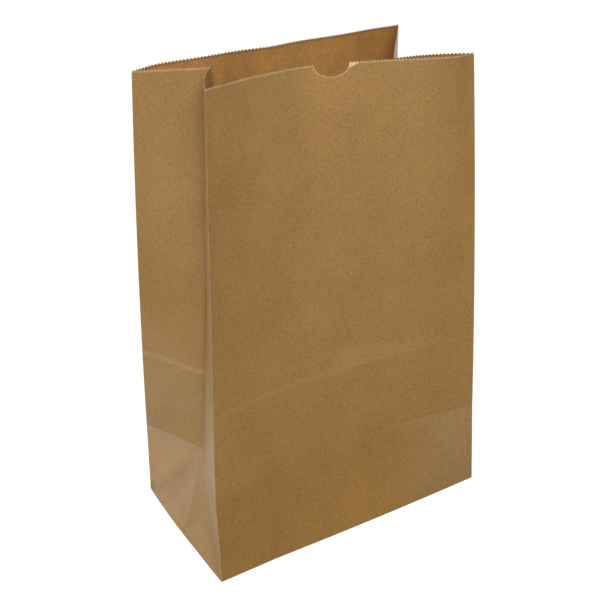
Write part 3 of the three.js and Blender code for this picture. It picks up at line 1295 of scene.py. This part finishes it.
        # Painted shade: the foot of the front darker and more saturated
        shade = mix(spot.share(self.low_front_shade) * spot.outer, shade, self.low_front_shade_tint, "MULTIPLY")
        marks = [
            # Painted sheen on the gusset feet and the left gusset
            ((spot.share(self.sheen_facets) + spot.share(self.sheen_strip)) * spot.outer, self.painted_sheen),
            # Pale marks of handling, and painted sheen at the front's foot and on the left gusset
            (self.wear_and_sheen.at(spot) * spot.outer, self.worn_and_sheen),
            (spot.share(self.rim) * spot.inner, self.fleck_and_shade),
            # Painted shadow towards the right end inside the back
            (spot.share(self.painted_shadow_end) * spot.inner, self.painted_shadow_tone),
            (spot.share(self.stripe) * spot.inner, self.fleck_and_shade),
            # Painted shade at the back-left corner of the base
            (spot.share(self.painted_corner_shade) * spot.outer, self.fleck_and_shade),
            (self.flecks(spot), self.fleck_and_shade),
        ]
        for share, tone in marks:
            shade = mix(share, shade, tone)
        return shade

    def flecks(self, spot: Spot) -> Signal:
        """Dark flecks of bark, few and small.

        Args:
            spot: the point of the paper.

        Returns:
            The share of the dark tone.
        """
        graph, place = spot.graph, spot.graph.join(spot.along, spot.up)
        sockets = {"Vector": place, "Scale": self.fleck_scale, "Randomness": 1.0}
        cells = graph.node("ShaderNodeTexVoronoi", None, sockets)
        chance, _, _ = graph.split(cells.outputs["Color"])
        away = Signal(graph, cells.outputs["Distance"])
        return graph.ramp(chance, self.fleck_few) * graph.ramp(away, self.fleck_edge, self.fleck_share)


@dataclass(frozen=True)
class Lamp:
    """A broad lamp far off.

    Args:
        turn: angle round the bag, from the front to its right, in degrees.
        rise: angle up, in degrees.
        spread: how wide the lamp looks from the bag, in degrees.
        strength: how strong it is.
    """

    turn: float
    rise: float
    spread: float
    strength: float


@dataclass
class Studio:
    """The pale floor, the soft light and the camera."""

    focal_px: float = 957.0
    frame_px: float = 600.0
    sensor: float = 36.0
    clip_start: float = 0.01
    camera_at: Vector = field(default_factory=lambda: Vector((-0.4533, -0.7111, 0.6241)))
    azimuth: float = -31.59
    elevation: float = 25.68
    sky: float = 0.166
    backdrop: float = 1.0
    mirrored_backdrop: float = 0.45
    floor_reach: float = 8.0
    floor_paint: float = 0.2
    floor_glow: float = 0.94
    mirror_glow: Pair = (0.0, 1.0)
    mirror_span: Pair = (-0.1, 0.2)
    mirror_lean: float = 0.3
    near_at: Vector = field(default_factory=lambda: Vector((-0.6, -0.77, 1.1)))
    near_aim: Vector = field(default_factory=lambda: Vector((0.0, 0.0, 0.35)))
    near_size: float = 0.5
    near_watts: float = 13.0
    lamps: dict[str, Lamp] = field(
        default_factory=lambda: {
            "front": Lamp(-15.0, 40.0, 40.0, 1.25),
            "behind": Lamp(-140.0, 20.0, 40.0, 1.30),
            "right": Lamp(110.0, 25.0, 40.0, 1.30),
        }
    )

    def floor(self) -> None:
        """A wide pale floor."""
        bm = bmesh.new()
        bmesh.ops.create_grid(bm, x_segments=1, y_segments=1, size=self.floor_reach)
        mesh = bpy.data.meshes.new("floor")
        bm.to_mesh(mesh)
        bm.free()
        mesh.materials.append(self.floor_material())
        floor = bpy.data.objects.new("floor", mesh)
        bpy.context.scene.collection.objects.link(floor)
        LOG.info("%s: %.0f m wide", floor.name, 2 * self.floor_reach)

    def floor_material(self) -> bpy.types.Material:
        """The floor's paint, which looks white to the camera and pale behind the bag in its gloss.

        Returns:
            The material.
        """
        made = bpy.data.materials.new("floor")
        made.use_nodes = True
        graph = Graph(made.node_tree)
        shader = made.node_tree.nodes["Principled BSDF"]
        shader.inputs["Base Color"].default_value = (*[self.floor_paint] * 3, 1.0)
        shader.inputs["Roughness"].default_value = 1.0
        shader.inputs["Specular IOR Level"].default_value = 0.0
        shader.inputs["Emission Strength"].default_value = 1.0
        across, deep, _ = graph.split(graph.node("ShaderNodeTexCoord").outputs["Object"])
        behind = deep - self.mirror_lean * across
        mirrored = self.rays(graph, "Glossy") * graph.ramp(behind, self.mirror_span, self.mirror_glow)
        glow = self.rays(graph, "Camera", "Transmission") * self.floor_glow + mirrored
        tint = graph.node("ShaderNodeCombineColor", None, {0: glow, 1: glow, 2: glow})
        graph.feed(shader.inputs["Emission Color"], Signal(graph, tint.outputs[0]))
        return made

    @staticmethod
    def rays(graph: Graph, *kinds: str) -> Signal:
        """One for a ray of any of some kinds, else nought."""
        path = graph.node("ShaderNodeLightPath")
        return graph.chain("MAXIMUM", [Signal(graph, path.outputs[f"Is {kind} Ray"]) for kind in kinds])

    def light(self) -> None:
        """Soft light all round, broad lamps far off in front, behind and at the right, and one near by."""
        self.light_sky()
        for name, lamp in self.lamps.items():
            data = bpy.data.lights.new(name, "SUN")
            data.energy = lamp.strength
            data.angle = math.radians(lamp.spread)
            self.hang(data, Vector(), -self.towards(lamp.turn, lamp.rise))
        data = bpy.data.lights.new("near", "AREA")
        data.energy = self.near_watts
        data.size = self.near_size
        self.hang(data, self.near_at, self.near_aim - self.near_at)

    def light_sky(self) -> None:
        """The soft light all round, before a backdrop that the camera sees as white."""
        world = bpy.data.worlds.new("studio")
        bpy.context.scene.world = world
        world.use_nodes = True
        sky = world.node_tree.nodes["Background"]
        sky.inputs["Color"].default_value = (1.0, 1.0, 1.0, 1.0)
        graph = Graph(world.node_tree)
        seen = (self.backdrop - self.sky) * self.rays(graph, "Camera", "Transmission")
        mirrored = (self.mirrored_backdrop - self.sky) * self.rays(graph, "Glossy")
        graph.feed(sky.inputs["Strength"], self.sky + (seen + mirrored))

    @classmethod
    def hang(cls, data: bpy.types.Light, at: Vector, look: Vector) -> None:
        """Hangs a lamp.

        Args:
            data: the lamp's light.
            at: its place.
            look: the direction in which it shines.
        """
        lamp = bpy.data.objects.new(data.name, data)
        cls.point(lamp, at, look)
        LOG.info("lamp %s: %.2f", lamp.name, data.energy)

    @staticmethod
    def point(thing: bpy.types.Object, at: Vector, look: Vector) -> None:
        """Puts a lamp or a camera into the scene.

        Args:
            thing: the lamp or the camera.
            at: its place.
            look: the direction in which it points.
        """
        thing.location = at
        thing.rotation_mode = "QUATERNION"
        thing.rotation_quaternion = look.to_track_quat("-Z", "Y")
        bpy.context.scene.collection.objects.link(thing)

    @staticmethod
    def towards(turn: float, rise: float) -> Vector:
        """The direction out from the bag at an angle round it and an angle up, in degrees."""
        across, up = math.radians(turn), math.radians(rise)
        return Vector((math.sin(across) * math.cos(up), -math.cos(across) * math.cos(up), math.sin(up)))

    def camera(self) -> None:
        """The camera at the photograph's angle."""
        data = bpy.data.cameras.new("camera")
        data.sensor_width = self.sensor
        data.lens = data.sensor_width * self.focal_px / self.frame_px
        data.clip_start = self.clip_start
        camera = bpy.data.objects.new("camera", data)
        self.point(camera, self.camera_at, -self.towards(self.azimuth, self.elevation))
        bpy.context.scene.camera = camera
        LOG.info("%s: %.1f mm lens", camera.name, data.lens)


def main() -> None:
    """Builds the bag, its finish and the studio."""
    logging.basicConfig(level=logging.INFO)
    sheet = BagSheet()
    bag = sheet.build()
    bag.data.materials.append(Kraft().material(sheet))
    studio = Studio()
    studio.floor()
    studio.light()
    studio.camera()
    bpy.context.scene.view_settings.view_transform = "Standard"


if __name__ == "__main__":
    main()
